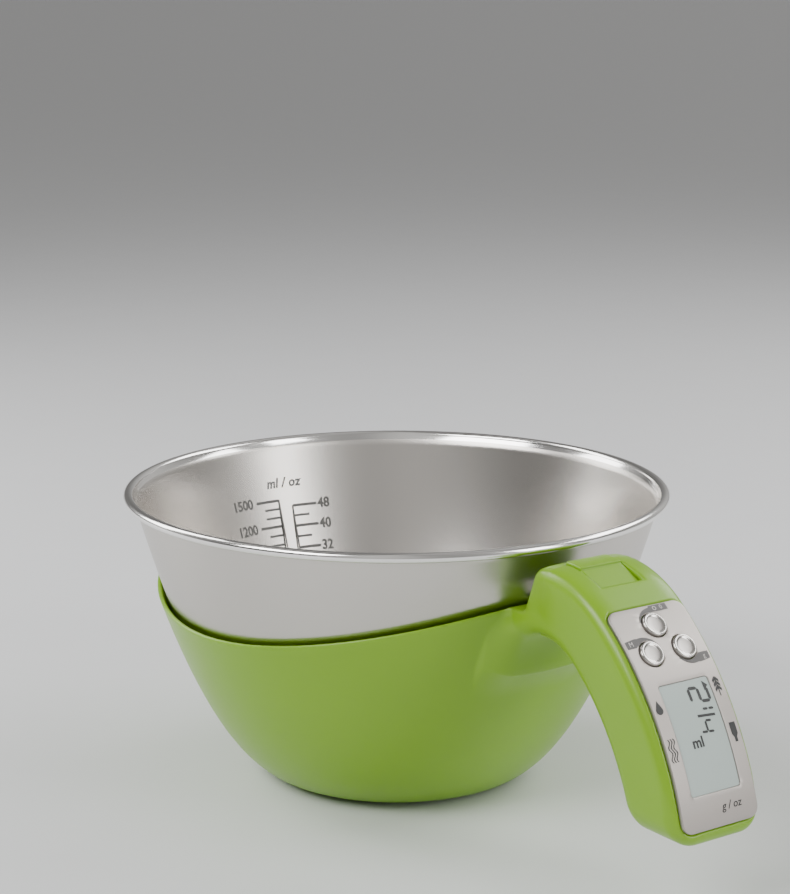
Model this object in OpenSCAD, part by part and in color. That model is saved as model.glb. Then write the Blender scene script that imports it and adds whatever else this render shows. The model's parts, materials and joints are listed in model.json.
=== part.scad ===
// Kitchen scale: a steel mixing bowl in a plastic holder with a curved handle that carries the display.
// Origin on the bowl's axis where the scale stands, +Z up, +X towards the handle. Millimetres.

/* [Bowl] */
// Outside diameter over the rolled rim
bowl_d = 216; // [210:1:222]
// Height of the top of the rim above the table
total_h = 116; // [115:0.5:117]
// Radius of the rolled rim's tube
rim_r = 2; // [1.8:0.1:2.2]
// Thickness of the bowl's steel
steel = 0.8; // [0.6:0.1:1]
// Height of the bowl's underside above the table
bowl_floor_z = 21.2; // [21:0.1:22]

/* [Holder] */
// Radius that the holder's flare starts from
flare_start_r = 43.6; // [43:0.1:45]
// Wall of the holder, measured square to its surface
shell_wall = 1.8; // [1.6:0.1:1.9]
// Level distance from the holder's outside to the bowl
bowl_inset = 3.2; // [3.1:0.1:3.4]
// Lowest height of the holder's saddle-shaped edge, at its sides
edge_low_z = 71.5; // [70:0.5:75]
// How much higher that edge is at the front and the back
edge_rise = 19; // [15:0.5:21]
// Radius of the hole in the holder's underside
base_hole_r = 47.3; // [47:0.1:47.6]

/* [Base] */
// Thickness of the cover under the holder
cover_t = 2.4; // [2:0.1:2.4]
// Inner radius of the rubber ring that the scale stands on
foot_r_in = 40; // [38:0.5:41]
// Outer radius of that ring
foot_r_out = 45; // [44:0.5:45.5]
// Length of the load cell's bar
cell_l = 70; // [66:1:72]
// Width of the load cell's bar
cell_w = 12.7; // [12:0.1:13]
// Height of the load cell's bar
cell_h = 10; // [9.5:0.1:10.5]
// Radius of the weighing platform
platform_r = 40; // [36:0.5:40]

/* [Handle] */
// Radius of the handle's face, where the panel lies
face_r = 122; // [121.5:0.1:122.5]
// Depth of the handle from its face to its underside
handle_depth = 27; // [26.5:0.1:27.5]
// Half the handle's width
handle_hw = 20.2; // [19.8:0.1:21]
// How far the face drops towards the handle's sides
crown = 2.2; // [1.5:0.1:3]
// Radius of the handle's shoulder, next to the bowl
shoulder_r = 47; // [46.5:0.1:47.5]
// Wall of the handle's mouldings
handle_wall = 2.4; // [2.2:0.1:2.5]

/* [Panel] */
// Width of the control panel
panel_w = 34; // [33:0.5:34.5]
// Length of the control panel
panel_l = 79; // [77:0.2:79.4]
// Width of the display window
lcd_w = 22; // [20:0.5:23]
// Length of the display window
lcd_l = 38.5; // [36:0.5:39]
// Radius of the three round buttons
button_r = 4.6; // [4.3:0.1:4.7]
// Travel of the three round buttons
button_travel = 0.8; // [0.5:0.1:0.8]

/* [Release] */
// Width of the release button
release_w = 18.6; // [16:0.2:19]
// Travel of the release button and of the latch that it draws back
release_travel = 2.5; // [2:0.1:2.5]

/* [Batteries] */
// Radius of one AAA cell
cell_r = 5.25; // [5:0.05:5.25]
// Length of one AAA cell over its nub
aaa_l = 44.5; // [44:0.1:44.5]

/* [Hidden] */
$fn = 96;
big = 400;

// The holder's flare: its outside radius grows with the square root of the height.
wall_top_z = total_h - 1.5 * rim_r;
flare = (bowl_d / 2 - 2 * rim_r + bowl_inset - flare_start_r) / sqrt(wall_top_z);
function env_r(z) = flare_start_r + flare * sqrt(z);
function env_slope(z) = flare / (2 * sqrt(z));
function shell_in_r(z) = env_r(z) - shell_wall * sqrt(1 + env_slope(z) * env_slope(z));
function bowl_out_r(z) = env_r(z) - bowl_inset;
// Heights at even steps of radius, from step a to step b of n.
function flare_steps(a, b, n, top) = [for (i = [a:b]) top * i * i / (n * n)];

function on_arc(c, r, a) = [c[0] + r * cos(a), c[1] + r * sin(a)];
function arc(c, r, a0, a1, n) = [for (i = [0:n]) on_arc(c, r, a0 + (a1 - a0) * i / n)];

// Heights of the layers in the base.
cover_z = 1;
floor_z = cover_z + cover_t;
floor_t = 2;
cell_z = floor_z + floor_t + 1;
platform_z = cell_z + cell_h + 1;
pad_z = platform_z + 2.2;
pad_r_out = platform_r - 0.6;
pad_r_in = pad_r_out - 4.4;
deck_z = platform_z - 1;
deck_t = 1.6;
cell_screw_x = [22, 30];
base_screw_r = 34;
deck_screw_r = 49.5;

// Centres and radii of the arcs that make the handle's outline, in its side view.
face_c = [72, 5];
under_r = face_r - handle_depth;
shoulder_a = 51.67;
shoulder_c = on_arc(face_c, face_r - shoulder_r, shoulder_a);
arch_r = 24;
arch_a = 52.1;
arch_c = on_arc(face_c, under_r - arch_r, arch_a);
handle_bottom_z = 28.8;
tip_r = 6;
heel_r = 10;
tip_a = asin((handle_bottom_z + tip_r - face_c[1]) / (face_r - tip_r));
heel_a = asin((handle_bottom_z + heel_r - face_c[1]) / (under_r + heel_r));
tip_c = on_arc(face_c, face_r - tip_r, tip_a);
heel_c = on_arc(face_c, under_r + heel_r, heel_a);
// Above the ledge the handle stands back from the bowl: its back leans out with height.
ledge_z = 91;
function back_x(z) = 107.3 + 0.39 * (z - 96);
// The handle's outline in the XZ plane, drawn t inside its surface.
function handle_outline(t) = concat(
    arc(shoulder_c, shoulder_r - t, 98, shoulder_a, 14),
    arc(face_c, face_r - t, shoulder_a - 1, tip_a, 16),
    arc(tip_c, tip_r - t, tip_a - 15, -90, 5),
    arc(heel_c, heel_r - t, -90, heel_a - 180, 6),
    arc(face_c, under_r + t, heel_a + 1, arch_a, 16),
    arc(arch_c, arch_r + t, arch_a + 8, 160, 10),
    [[84, 70], [84, 108]]
);

// Layers under the panel, as distances from face_c.
panel_out = face_r + 0.4;
panel_in = face_r - 1.2;
skin_in = face_r - 2.6;
panel_a = 32.8;
lcd_a = 28.5;
lcd_top = face_r - 3.6;
board_top = lcd_top - 4;
board_t = 1.4;
button_board_a = 45.5;
button_board_top = face_r - 8;
button_board_posts = [[-8, -12], [-8, 12], [8.6, 0]];
tact_h = 2.6;
power_a = 47.9;
pair_a = 43.1;
pair_y = 7.4;

// Batteries, side by side across the handle.
battery_a = 36.5;
battery_h = 102.8;
battery_y = 5.5;
door_a0 = 23;
door_a1 = 50.5;
door_w = 24;
door_t = 1.9;
// The door's hinge: two small pins at its lower end, in holes of the rear cover.
hinge_a = 24;
hinge_r = under_r + door_t / 2;
pin_r = 0.55;
pin_l = 1.3;

// Release button and latch, in the neck.
release_x0 = 117;
release_x1 = 137;
ridge_x = 125.5;
latch_z = 92;
latch_t = 1.6;
leg_x = 127;
leg_y = 6.4;
leg_w = 2.4;
latch_hw = 9;
latch_nose_x = 100.6;
latch_end_x = 133.7;
carrier_z = 89.4;
carrier_t = 1.4;
spring_x = 121.5;
spring_r = 3;

// The flat cable from the load cell to the boards, and where it leaves the holder's wall.
cable_w = 5;
cable_t = 0.7;
cable_exit_z = 87;
cable_route = [[98, 87], [110, 88.3], [137.5, 88.3], [140.5, 92.6]];

// Moves and turns its children to angle a on the handle's arc: their Z points out, their X down the handle.
module at_arc(a) {
    translate([face_c[0], 0, face_c[1]]) rotate([0, 90 - a, 0]) children();
}
// Extrudes an XZ outline across the handle.
module across(w) {
    rotate([90, 0, 0]) linear_extrude(height = w, center = true) children();
}
// A flat block with its XY middle at the origin and its underside at height z.
module slab(l, w, z, t) {
    translate([-l / 2, -w / 2, z]) cube([l, w, t]);
}
// The same with round corners of radius r.
module round_slab(l, w, z, t, r) {
    translate([0, 0, z]) linear_extrude(height = t) union() {
        square([l - 2 * r, w], center = true);
        square([l, w - 2 * r], center = true);
        for (sx = [-1, 1], sy = [-1, 1])
            translate([sx * (l / 2 - r), sy * (w / 2 - r)]) circle(r);
    }
}
module rod(r, z, h) {
    translate([0, 0, z]) cylinder(r = r, h = h);
}
// A layer of the handle's face, from radius r0 to radius r1.
module face_layer(r0, r1) {
    translate([face_c[0], 0, face_c[1]]) rotate([90, 0, 0]) difference() {
        cylinder(r = r1, h = 60, center = true);
        cylinder(r = r0, h = 62, center = true);
    }
}
// A pan-head screw standing on its head at the origin, shank up.
module screw(shank_r, length, head_r, head_h) {
    difference() {
        rod(head_r, 0, head_h);
        translate([-head_r * 0.6, -0.4, -0.1]) cube([head_r * 1.2, 0.8, 0.6]);
        translate([-0.4, -head_r * 0.6, -0.1]) cube([0.8, head_r * 1.2, 0.6]);
    }
    rod(shank_r, head_h, length);
}
// A helical compression spring standing on the origin: an eight-sided wire swept along its turns.
module coil(r, wire, h, turns) {
    sides = 8;
    steps = 10 * turns;
    points = [
        for (i = [0:steps], j = [0:sides - 1])
            let (t = 36 * i, b = 360 * j / sides, q = r + wire * cos(b))
            [q * cos(t), q * sin(t), wire + (h - 2 * wire) * i / steps + wire * sin(b)]
    ];
    walls = [
        for (i = [0:steps - 1], j = [0:sides - 1])
            let (k = (j + 1) % sides)
            [i * sides + j, (i + 1) * sides + j, (i + 1) * sides + k, i * sides + k]
    ];
    first = [for (j = [0:sides - 1]) j];
    last = [for (j = [0:sides - 1]) steps * sides + sides - 1 - j];
    polyhedron(points = points, faces = concat([first], walls, [last]), convexity = 8);
}

// ---- Bowl ----

module bowl() {
    corner_r = 20;
    zs = flare_steps(6, 14, 14, wall_top_z);
    wall_zs = [for (z = zs) if (z > bowl_floor_z + corner_r * 0.35) z];
    z1 = wall_zs[0];
    corner = [bowl_out_r(z1) - corner_r * 0.62, bowl_floor_z];
    knee = [
        for (i = [1:4])
            let (u = i / 5)
            [
                (1 - u) * (1 - u) * corner[0] + 2 * u * (1 - u) * (bowl_out_r(z1) - 5)
                    + u * u * bowl_out_r(z1),
                (1 - u) * (1 - u) * corner[1] + 2 * u * (1 - u) * bowl_floor_z + u * u * z1
            ]
    ];
    neck_r = bowl_d / 2 - 2 * rim_r + 0.4;
    outside = concat([[0, bowl_floor_z], corner], knee, [for (z = wall_zs) [bowl_out_r(z), z]]);
    inside = concat(
        [[neck_r, total_h - rim_r], [neck_r - steel * 1.05, total_h - rim_r]],
        [for (i = [len(wall_zs) - 1:-1:0]) [bowl_out_r(wall_zs[i]) - steel * 1.05, wall_zs[i]]],
        [for (i = [3:-1:0]) [knee[i][0] - steel * 0.6, knee[i][1] + steel * 0.8]],
        [[corner[0], bowl_floor_z + steel], [0, bowl_floor_z + steel]]
    );
    color([0.80, 0.80, 0.79]) union() {
        rotate_extrude($fn = 128) polygon(concat(outside, inside));
        translate([0, 0, total_h - rim_r]) rotate_extrude($fn = 128)
            translate([bowl_d / 2 - rim_r, 0]) difference() {
                circle(rim_r, $fn = 32);
                circle(rim_r - steel, $fn = 32);
            }
    }
}

// ---- Holder and base ----

// The space that the bowl and the clearance round it take, up to above the rim.
module bowl_space() {
    zs = flare_steps(3, 16, 16, total_h - 5.5);
    rim_gap_r = bowl_d / 2 + 1;
    rotate_extrude($fn = 128) polygon(concat(
        [[0, zs[0]]],
        [for (z = zs) [shell_in_r(z), z]],
        [[rim_gap_r, total_h - 3 * rim_r], [rim_gap_r, total_h + 10], [0, total_h + 10]]
    ));
}
// The holder's outside as a filled solid, with its saddle-shaped edge.
module shell_filled() {
    n = 16;
    top = edge_low_z + edge_rise + 10;
    edge_r = env_r(edge_low_z + edge_rise);
    saddle_r = (edge_r * edge_r) / (2 * edge_rise) + edge_rise / 2;
    difference() {
        rotate_extrude($fn = 128) polygon(concat(
            [[0, cover_z], [50, cover_z]],
            [for (z = flare_steps(2, n, n, top)) [env_r(z), z]],
            [[0, top]]
        ));
        translate([0, 0, edge_low_z + saddle_r]) rotate([90, 0, 0])
            cylinder(r = saddle_r, h = big, center = true, $fn = 180);
    }
}
// A quarter-turn ring of children at radius r.
module four(r) {
    for (a = [45:90:315]) rotate([0, 0, a]) translate([r, 0, 0]) children();
}
// A strip of the holder's wall on the handle's side, between depths t0 and t1 from its inner face.
module wall_lane(t0, t1, w, z0, z1) {
    zs = [for (i = [0:10]) z0 + (z1 - z0) * i * (i + 6) / 160];
    intersection() {
        rotate_extrude($fn = 128) polygon(concat(
            [for (z = zs) [shell_in_r(z) + t0, z]],
            [for (i = [10:-1:0]) [shell_in_r(zs[i]) + t1, zs[i]]]
        ));
        translate([0, -w / 2, 0]) cube([150, w, 120]);
    }
}
// A flat strip w wide and t thick that runs between two points of the XZ plane.
module strip(p, q, w, t) {
    d = q - p;
    translate([p[0], 0, p[1]]) rotate([0, -atan2(d[1], d[0]), 0])
        translate([0, -w / 2, -t / 2]) cube([norm(d), w, t]);
}

module outer_shell() {
    room = flare_steps(3, 16, 16, total_h);
    color([0.49, 0.66, 0.22]) difference() {
        union() {
            difference() {
                shell_filled();
                rotate_extrude($fn = 128) polygon(concat(
                    [[0, floor_z + floor_t], [shell_in_r(floor_z + floor_t), floor_z + floor_t]],
                    [for (z = room) if (z > floor_z + floor_t + 0.5) [shell_in_r(z), z]],
                    [[0, total_h]]
                ));
            }
            four(base_screw_r) rod(3.2, floor_z, 6);
            four(deck_screw_r) rod(3.2, floor_z, deck_z - floor_z);
        }
        rod(base_hole_r, 0, floor_z);
        four(base_screw_r) rod(1.1, 0, floor_z + 5.2);
        four(deck_screw_r) rod(1.1, floor_z + 3, deck_z);
        for (x = cell_screw_x) translate([-x, 0, 0]) rod(2, 0, 10);
        wall_lane(-0.1, cable_t + 0.1, cable_w + 1, floor_z + floor_t + 0.05, cable_exit_z + 1);
        translate([90, -cable_w / 2 - 0.5, cable_exit_z - 1]) cube([30, cable_w + 1, 2]);
    }
}

module deck_ring() {
    hole_r = platform_r + 1;
    color([0.20, 0.22, 0.22]) difference() {
        rod(shell_in_r(deck_z) - 0.4, deck_z, deck_t);
        rod(hole_r, 0, 40);
        four(deck_screw_r) rod(1.5, 0, 40);
        translate([55, -3.2, 0]) cube([20, 6.4, 40]);
    }
}

module deck_screws() {
    color("silver") four(deck_screw_r) translate([0, 0, deck_z + deck_t + 1.2]) mirror([0, 0, 1])
        screw(1.1, 6, 2.4, 1.2);
}

module base_cover() {
    color([0.45, 0.62, 0.22]) difference() {
        rod(base_hole_r - 0.2, cover_z, cover_t);
        difference() {
            rod(foot_r_out, 0, cover_z + 1.2);
            rod(foot_r_in, -1, cover_z + 3.2);
        }
        four(base_screw_r) {
            rod(1.5, 0, 20);
            rod(2.8, 0, cover_z + 1.2);
        }
        for (x = cell_screw_x) translate([-x, 0, 0]) rod(3.6, floor_z - 2, 10);
    }
}

module foot_ring() {
    color([0.15, 0.15, 0.15]) difference() {
        rod(foot_r_out, 0, cover_z + 1.2);
        rod(foot_r_in, -1, 10);
    }
}

module base_screws() {
    color("silver") four(base_screw_r) translate([0, 0, cover_z + 0.2]) screw(1.1, 6, 2.6, 1);
}

module load_cell() {
    color([0.75, 0.76, 0.78]) difference() {
        slab(cell_l, cell_w, cell_z, cell_h);
        for (x = [-5.5, 5.5]) translate([x, 0, cell_z + cell_h / 2]) rotate([90, 0, 0])
            cylinder(r = 3.6, h = 30, center = true);
        slab(11, 30, cell_z + cell_h / 2 - 1, 2);
        for (x = cell_screw_x, s = [-1, 1]) translate([s * x, 0, 0]) rod(1.9, 0, 40);
    }
}

module load_cell_spacers() {
    mid = (cell_screw_x[0] + cell_screw_x[1]) / 2;
    color([0.6, 0.6, 0.62]) for (s = [-1, 1]) difference() {
        translate([s * mid, 0, 0]) slab(16, cell_w, s < 0 ? floor_z + floor_t : cell_z + cell_h, 1);
        for (x = cell_screw_x) translate([s * x, 0, 0]) rod(2, 0, 40);
    }
}

module load_cell_screws() {
    color("silver") for (x = cell_screw_x) {
        translate([-x, 0, floor_z - 1.8]) screw(1.85, 8.5, 3.3, 1.8);
        translate([x, 0, pad_z + 1.2]) mirror([0, 0, 1]) screw(1.85, 9, 3.3, 1.2);
    }
}

module weighing_platform() {
    color([0.22, 0.24, 0.24]) difference() {
        rod(platform_r, platform_z, pad_z - platform_z);
        for (x = cell_screw_x) translate([x, 0, 0]) rod(2, 0, 40);
        difference() {
            rod(pad_r_out, pad_z - 0.6, 5);
            rod(pad_r_in, 0, 40);
        }
    }
}

// The soft ring on the platform that the bowl stands on.
module platform_pad() {
    color([0.35, 0.36, 0.36]) difference() {
        rod(pad_r_out, pad_z - 0.6, bowl_floor_z - pad_z + 0.55);
        rod(pad_r_in, 0, 40);
    }
}

// The flat cable: from the load cell across the floor, up the groove in the wall and into the handle.
module sensor_cable() {
    floor_cable_z = floor_z + floor_t + 0.2;
    color([0.85, 0.85, 0.82]) union() {
        translate([cell_l / 2 + 0.2, -cable_w / 2, floor_cable_z]) cube([20.3, cable_w, cable_t]);
        wall_lane(0.05, cable_t, cable_w, floor_cable_z + 0.2, cable_exit_z + cable_t / 2);
        for (i = [0:len(cable_route) - 2]) strip(cable_route[i], cable_route[i + 1], cable_w, cable_t);
    }
}

// ---- Handle ----

// The handle's face as a body of revolution about centre c: nearly flat, it drops by crown at the sides.
module crowned(c, r) {
    ys = [for (i = [-8:8]) handle_hw * sin(90 * i / 8)];
    translate([c[0], 0, c[1]]) rotate([90, 0, 0]) rotate_extrude($fn = 180) polygon(concat(
        [[0, -handle_hw]],
        [for (y = ys) [r - crown * pow(abs(y) / handle_hw, 8), y]],
        [[0, handle_hw]]
    ));
}
// Everything on the shoulder's side of the line where the handle's two face arcs meet.
module shoulder_side() {
    translate([face_c[0], 0, face_c[1]]) rotate([0, -shoulder_a, 0])
        translate([-big / 2, -big / 2, 0]) cube(big);
}
// The whole handle as a filled solid, cut to the holder and to the bowl.
module handle_filled() {
    difference() {
        intersection() {
            across(2 * handle_hw) polygon(handle_outline(0));
            union() {
                difference() {
                    crowned(face_c, face_r);
                    shoulder_side();
                }
                intersection() {
                    crowned(shoulder_c, shoulder_r);
                    shoulder_side();
                }
            }
        }
        shell_filled();
        bowl_space();
        behind_back(0);
    }
}
// The space between the bowl and the handle's back, above the ledge, t larger all round.
module behind_back(t) {
    top = total_h + 10;
    across(60) polygon([
        [60, ledge_z - t], [back_x(ledge_z - t) + 1.07 * t, ledge_z - t],
        [back_x(top) + 1.07 * t, top], [60, top]
    ]);
}
// The room inside the handle: it stops short of the wall next to the bowl.
module handle_room() {
    n = 16;
    top = total_h + 10;
    difference() {
        across(2 * (handle_hw - handle_wall)) polygon(handle_outline(handle_wall));
        rotate_extrude($fn = 128) polygon(concat(
            [[0, 60]],
            [for (z = flare_steps(12, n, n, top)) [env_r(z) + 0.5, z]],
            [[0, top]]
        ));
        behind_back(handle_wall);
    }
}
// The opening in the underside that the rear cover fills, t smaller all round.
module rear_opening(t) {
    across(2 * (handle_hw - handle_wall - 0.6 - t)) polygon(concat(
        arc(face_c, under_r - 2, heel_a + 1 + t, arch_a, 16),
        arc(arch_c, arch_r - 2, arch_a + 6, 96 - t, 8),
        arc(arch_c, arch_r + handle_wall, 96 - t, arch_a + 6, 8),
        arc(face_c, under_r + handle_wall, arch_a, heel_a + 1 + t, 16)
    ));
}
module door_opening(t) {
    across(door_w - 2 * t) polygon(concat(
        arc(face_c, under_r - 3, door_a0 + 1.6 * t, door_a1 - t, 12),
        arc(face_c, under_r + 4, door_a1 - t, door_a0 + 1.6 * t, 12)
    ));
}
module panel_shape(t, z, h) {
    at_arc(panel_a) round_slab(panel_l - 2 * t, panel_w - 2 * t, z, h, 4 - t);
}
// The rectangular well for the release button, with its flange's room below it.
module release_well(t, z, h) {
    translate([release_x0 - t, -release_w / 2 - t, z])
        cube([release_x1 - release_x0 + 2 * t, release_w + 2 * t, h]);
}
module at_power() { at_arc(power_a) children(); }
module at_mode() { at_arc(pair_a) translate([0, -pair_y, 0]) children(); }
module at_unit() { at_arc(pair_a) translate([0, pair_y, 0]) children(); }
module at_buttons() {
    at_power() children();
    at_mode() children();
    at_unit() children();
}

// Posts inside the housing, down from the skin under the panel to the boards and the latch's carrier.
module housing_posts() {
    at_arc(lcd_a) for (x = [-17, 17], y = [-14.4, 14.4]) translate([x, y, 0])
        rod(1.5, board_top, skin_in - board_top);
    at_arc(button_board_a) for (p = button_board_posts) translate([p[0], p[1], 0])
        rod(1.3, button_board_top, skin_in - button_board_top);
    difference() {
        union() {
            carrier_bosses() translate([-2, -3.2, carrier_z - 6]) cube([4, 6.4, 6]);
            rear_screw_places() translate([-2, -2.9, handle_wall + 0.3]) cube([4, 7, 5.2]);
        }
        carrier_bosses() rod(1.15, 0, 120);
        rear_screw_places() rod(1.15, 0, 20);
    }
}

module handle_housing() {
    color([0.52, 0.70, 0.22]) difference() {
        union() {
            difference() {
                handle_filled();
                handle_room();
            }
            intersection() {
                housing_posts();
                handle_filled();
            }
        }
        intersection() {
            panel_shape(-0.2, 90, 60);
            face_layer(panel_in, face_r + 20);
        }
        at_arc(lcd_a) slab(41, 25, 100, 30);
        at_buttons() rod(button_r + 0.6, 105, 30);
        rear_opening(0);
        release_well(0.3, 96, 30);
        translate([90, -latch_hw - 0.3, latch_z - 0.4]) cube([30, 2 * latch_hw + 0.6, latch_t + 0.8]);
        translate([90, -cable_w / 2 - 0.5, cable_exit_z - 1]) cube([15, cable_w + 1, 2]);
    }
}

module handle_rear_cover() {
    color([0.45, 0.62, 0.20]) difference() {
        intersection() {
            rear_opening(0.3);
            across(60) polygon(handle_outline(0));
            union() {
                translate([face_c[0], 0, face_c[1]]) rotate([90, 0, 0])
                    cylinder(r = under_r + handle_wall - 0.3, h = 60, center = true);
                translate([90, -30, 80]) cube([40, 60, 7]);
            }
        }
        door_opening(0);
        hinge_pins(pin_r + 0.2, pin_l + 0.2);
        rear_screw_places() {
            rod(1.4, -10, 30);
            rod(2.1, -3, 4.1);
        }
    }
}
module rear_screw_places() {
    for (a = [door_a0 + 5, door_a1 + 3], s = [0, 1])
        at_arc(a) mirror([0, s, 0]) translate([0, 14.5, under_r]) children();
}

module handle_screws() {
    color("silver") rear_screw_places() screw(1.1, 6, 1.9, 1);
}

module control_panel() {
    color([0.74, 0.71, 0.68]) difference() {
        intersection() {
            panel_shape(0, 90, 60);
            face_layer(panel_in, panel_out);
        }
        at_arc(lcd_a) round_slab(lcd_l, lcd_w, 100, 40, 1);
        at_buttons() rod(button_r + 0.3, 100, 40);
    }
}

module lcd_window() {
    color([0.75, 0.80, 0.78]) intersection() {
        at_arc(lcd_a) round_slab(lcd_l - 0.2, lcd_w - 0.2, 100, 40, 0.9);
        face_layer(panel_in - 0.4, face_r + 0.2);
    }
}

module lcd_module() {
    color([0.60, 0.65, 0.62]) at_arc(lcd_a) difference() {
        slab(40, 24, board_top, lcd_top - board_top);
        slab(36, 21, lcd_top - 0.6, 1);
    }
}

module main_board() {
    color([0.05, 0.35, 0.15]) at_arc(lcd_a) union() {
        difference() {
            slab(44, 34, board_top - board_t, board_t);
            for (x = [-17, 17], y = [-14.4, 14.4]) translate([x, y, 0]) rod(1, 0, 200);
        }
        slab(9, 9, board_top - board_t - 1.2, 1.2);
        translate([14, 6, 0]) slab(4, 8, board_top - board_t - 1.6, 1.6);
        translate([-14, -7, 0]) slab(6, 5, board_top - board_t - 1, 1);
    }
}

module button_board() {
    color([0.05, 0.35, 0.15]) at_arc(button_board_a) difference() {
        slab(20, 28, button_board_top - 1.2, 1.2);
        for (p = button_board_posts) translate([p[0], p[1], 0]) rod(1, 0, 200);
    }
}

module board_screws() {
    color("silver") {
        at_arc(lcd_a) for (x = [-17, 17], y = [-14.4, 14.4]) translate([x, y, board_top - board_t - 0.8])
            screw(0.9, 0.7, 1.6, 0.8);
        at_arc(button_board_a) for (p = button_board_posts) translate([p[0], p[1], button_board_top - 2])
            screw(0.9, 0.6, 1.5, 0.8);
    }
}

// The ribbon that joins the two boards.
module board_link() {
    upper = on_arc(face_c, button_board_top - 1.6, button_board_a - 3);
    lower = on_arc(face_c, board_top - board_t - 0.6, lcd_a + 9.5);
    color([0.85, 0.85, 0.82]) translate([0, 7, 0]) strip(upper, lower, 7, 0.5);
}

module tact_switches() {
    places = [[-5.1, 0], [5.1, -pair_y], [5.1, pair_y]];
    color([0.15, 0.15, 0.16]) at_arc(button_board_a) for (p = places) translate([p[0], p[1], 0]) union() {
        slab(6, 6, button_board_top, tact_h - 0.4);
        rod(1.7, button_board_top, tact_h);
    }
}

// One round push button in its own axes: a dished cap, a flange that keeps it in, and a stem.
module push_button() {
    flange_top = skin_in - 0.25;
    stem_z = button_board_top + tact_h + button_travel + 0.2;
    color([0.80, 0.78, 0.76]) difference() {
        union() {
            rod(button_r, flange_top - 1, panel_out + 1 - flange_top + 1);
            rod(button_r + 1, flange_top - 1, 1);
            rod(1.6, stem_z, flange_top - 1 - stem_z);
        }
        translate([0, 0, panel_out + 1 + 14.4]) sphere(r = 15);
    }
}
module button_power() { at_power() push_button(); }
module button_mode() { at_mode() push_button(); }
module button_unit() { at_unit() push_button(); }

// ---- Release button and latch ----

module release_button() {
    flange_z = 99;
    flange_t = 1.6;
    leg_z = carrier_z + carrier_t + release_travel + 0.7;
    color([0.58, 0.75, 0.24]) difference() {
        union() {
            intersection() {
                release_well(0, flange_z, 30);
                crowned(shoulder_c, shoulder_r + 0.8);
            }
            translate([release_x0 - 1, -release_w / 2 - 1, flange_z])
                cube([release_x1 - release_x0 + 2, release_w + 2, flange_t]);
            translate([spring_x, 0, 0]) rod(spring_r - 1, flange_z - 3, 4);
            for (s = [-1, 1]) translate([0, s * leg_y, 0]) across(leg_w)
                polygon([[leg_x, leg_z], [leg_x + 1, leg_z], [leg_x + 6, leg_z + 5],
                    [leg_x + 6, flange_z + 1], [leg_x, flange_z + 1]]);
        }
        translate([ridge_x, 0, 110.3]) rotate([0, 24, 0]) translate([0, -20, 0]) cube([30, 40, 10]);
    }
}

module release_spring() {
    color("silver") translate([spring_x, 0, carrier_z + carrier_t]) coil(spring_r, 0.35, 8.1, 5);
}

module latch_carrier() {
    rib_y = latch_hw + 0.9;
    half_w = handle_hw - handle_wall - 0.2;
    color([0.9, 0.9, 0.88]) difference() {
        union() {
            translate([108, -half_w, carrier_z]) cube([28.5, 2 * half_w, carrier_t]);
            for (s = [-1, 1]) translate([109, s * rib_y - 0.6, carrier_z]) cube([26, 1.2, 4]);
        }
        carrier_bosses() rod(1.3, 0, 120);
    }
}
// The four places where the carrier is screwed to the housing, in the housing's corners.
module carrier_bosses() {
    for (x = [111, 133], s = [-1, 1]) translate([x, s * 15.2, 0]) children();
}

module carrier_screws() {
    color("silver") carrier_bosses() translate([0, 0, carrier_z + carrier_t + 1]) mirror([0, 0, 1])
        screw(1.1, 3.2, 2, 1);
}

// A flat slide with a ramp for each of the button's legs and a nose next to the bowl.
module latch_slide() {
    ramp_x = leg_x - 0.58;
    color([0.92, 0.92, 0.90]) difference() {
        union() {
            translate([latch_nose_x, -latch_hw, latch_z])
                cube([latch_end_x - latch_nose_x, 2 * latch_hw, latch_t]);
            for (s = [-1, 1]) translate([0, s * leg_y, 0]) across(leg_w)
                polygon([[ramp_x, latch_z], [ramp_x + 4, latch_z + 4], [ramp_x + 7, latch_z + 4],
                    [ramp_x + 7, latch_z]]);
        }
        for (s = [-1, 1]) translate([0, s * leg_y, 0]) across(leg_w + 0.5)
            polygon([[ramp_x - 5, latch_z - 1], [ramp_x - 1, latch_z - 1], [ramp_x + 3, latch_z + 3],
                [ramp_x - 5, latch_z + 3]]);
        translate([spring_x, 0, 0]) slab(16, 7.8, latch_z - 1, 10);
    }
}

// ---- Batteries ----

module at_batteries() {
    at_arc(battery_a) for (s = [-1, 1]) translate([0, s * battery_y, battery_h]) rotate([0, 90, 0])
        rotate([0, 0, s > 0 ? 0 : 180]) children();
}

module battery_cells() {
    color([0.25, 0.27, 0.30]) at_batteries() {
        translate([0, 0, -aaa_l / 2]) cylinder(r = cell_r, h = aaa_l - 1);
        translate([0, 0, aaa_l / 2 - 1.5]) cylinder(r = 1.8, h = 1.5);
    }
}

// The tray that the batteries lie against, with a wall at each end for the contacts.
module battery_tray() {
    half_w = handle_hw - handle_wall - 0.2;
    end_hw = 10.3;
    top = battery_h + cell_r + 0.1;
    x0 = -aaa_l / 2 - 2.25;
    x1 = aaa_l / 2 + 4.2;
    color([0.18, 0.19, 0.19]) at_arc(battery_a) union() {
        translate([x0 + 3.5, -half_w, top]) cube([x1 - x0 - 3.5, 2 * half_w, 1]);
        translate([x0, -end_hw, top]) cube([4, 2 * end_hw, 1]);
        for (x = [x0, x1 - 1]) translate([x, -end_hw, battery_h - 4.2])
            cube([1, 2 * end_hw, top - battery_h + 4.7]);
    }
}

module battery_contacts() {
    color("silver") at_arc(battery_a) {
        translate([-aaa_l / 2 - 1.2, -9.5, battery_h - 4]) cube([0.5, 19, 8]);
        for (s = [-1, 1]) translate([aaa_l / 2 + 2.6, s * battery_y - 4, battery_h - 3]) cube([0.5, 8, 7]);
    }
}

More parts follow.
